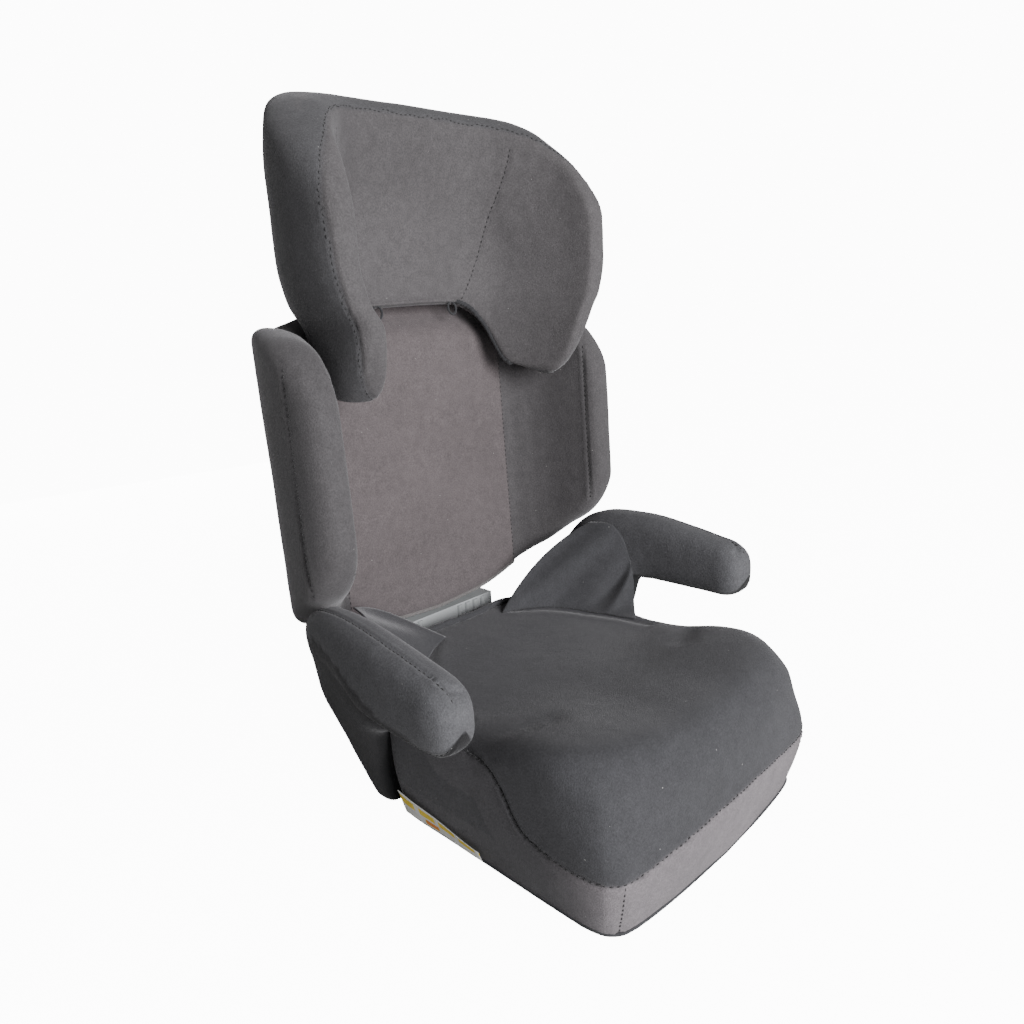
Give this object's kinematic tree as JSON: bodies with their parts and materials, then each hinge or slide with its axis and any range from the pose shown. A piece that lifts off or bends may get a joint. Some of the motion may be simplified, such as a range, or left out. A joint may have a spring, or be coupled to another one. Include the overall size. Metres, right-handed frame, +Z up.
{
  "type": "high-back booster seat",
  "caption": "Fabric-covered high-back booster seat with armrests, winged backrest on a hinge and a winged headrest that slides up and locks.",
  "frame": {"origin": "on the floor, under the middle of the seat pan, on the plane of symmetry", "axes": "+Z up, -Y the way the occupant faces, +X the occupant's left"},
  "size_m": [0.4868, 0.4892, 0.72],
  "materials": {
    "seat_fabric": "charcoal short-pile knitted polyester",
    "back_fabric": "warm grey short-pile knitted polyester",
    "side_fabric": "near-black short-pile knitted polyester",
    "foam": "soft padding under the cover",
    "black_plastic": "moulded black polypropylene",
    "grey_plastic": "moulded grey polypropylene, semi-gloss",
    "steel": "zinc-plated steel",
    "label": "blank printed film label"
  },
  "bodies": {
    "base": {"base_shell": "black_plastic", "seat_foam": "foam", "seat_cover": "seat_fabric", "hinge_pin": "steel", "side_label": "label", "armrest_cover_left": "seat_fabric", "armrest_cover_right": "seat_fabric", "armrest_foam_left": "foam", "armrest_foam_right": "foam", "armrest_frame_left": "black_plastic", "armrest_frame_right": "black_plastic", "side_gusset_left": "seat_fabric", "side_gusset_right": "seat_fabric"},
    "backrest": {"back_shell": "grey_plastic", "back_foam": "foam", "back_cover": "back_fabric", "wing_foam_left": "foam", "wing_foam_right": "foam", "wing_cover_left": "back_fabric", "wing_cover_right": "back_fabric", "wing_side_cover_left": "side_fabric", "wing_side_cover_right": "side_fabric"},
    "headrest": {"head_shell": "black_plastic", "head_foam_middle": "foam", "head_cover_middle": "back_fabric", "head_carriage": "black_plastic", "handle_spring": "steel", "head_foam_left": "foam", "head_foam_right": "foam", "head_cover_left": "back_fabric", "head_cover_right": "back_fabric", "head_side_cover_left": "side_fabric", "head_side_cover_right": "side_fabric", "belt_guide_left": "black_plastic", "belt_guide_right": "black_plastic", "carriage_screw_left": "steel", "carriage_screw_right": "steel"},
    "handle": {"release_handle": "black_plastic"},
    "lock": {"lock_yoke": "steel"}
  },
  "joints": [
    {"name": "backrest_recline", "type": "hinge", "parent": "base", "child": "backrest", "pos_m": [0, 0.19, 0.055], "axis": [-1, 0, 0], "range_deg": [0, 18]},
    {"name": "headrest_height", "type": "slide", "parent": "backrest", "child": "headrest", "axis": [0, 0.035, 0.9994], "range_m": [0, 0.1]},
    {"name": "handle_pull", "type": "slide", "parent": "headrest", "child": "handle", "axis": [0, 0.035, 0.9994], "range_m": [0, 0.008], "stiffness_N_per_m": 450, "springref_m": -0.006, "deforming": ["handle_spring"]},
    {"name": "lock_retract", "type": "slide", "parent": "headrest", "child": "lock", "axis": [0, 0.9994, -0.035], "range_m": [0, 0.0075]}
  ],
  "couplings": [
    {"joint": "lock_retract", "follows": "handle_pull", "ratio": 0.9}
  ]
}
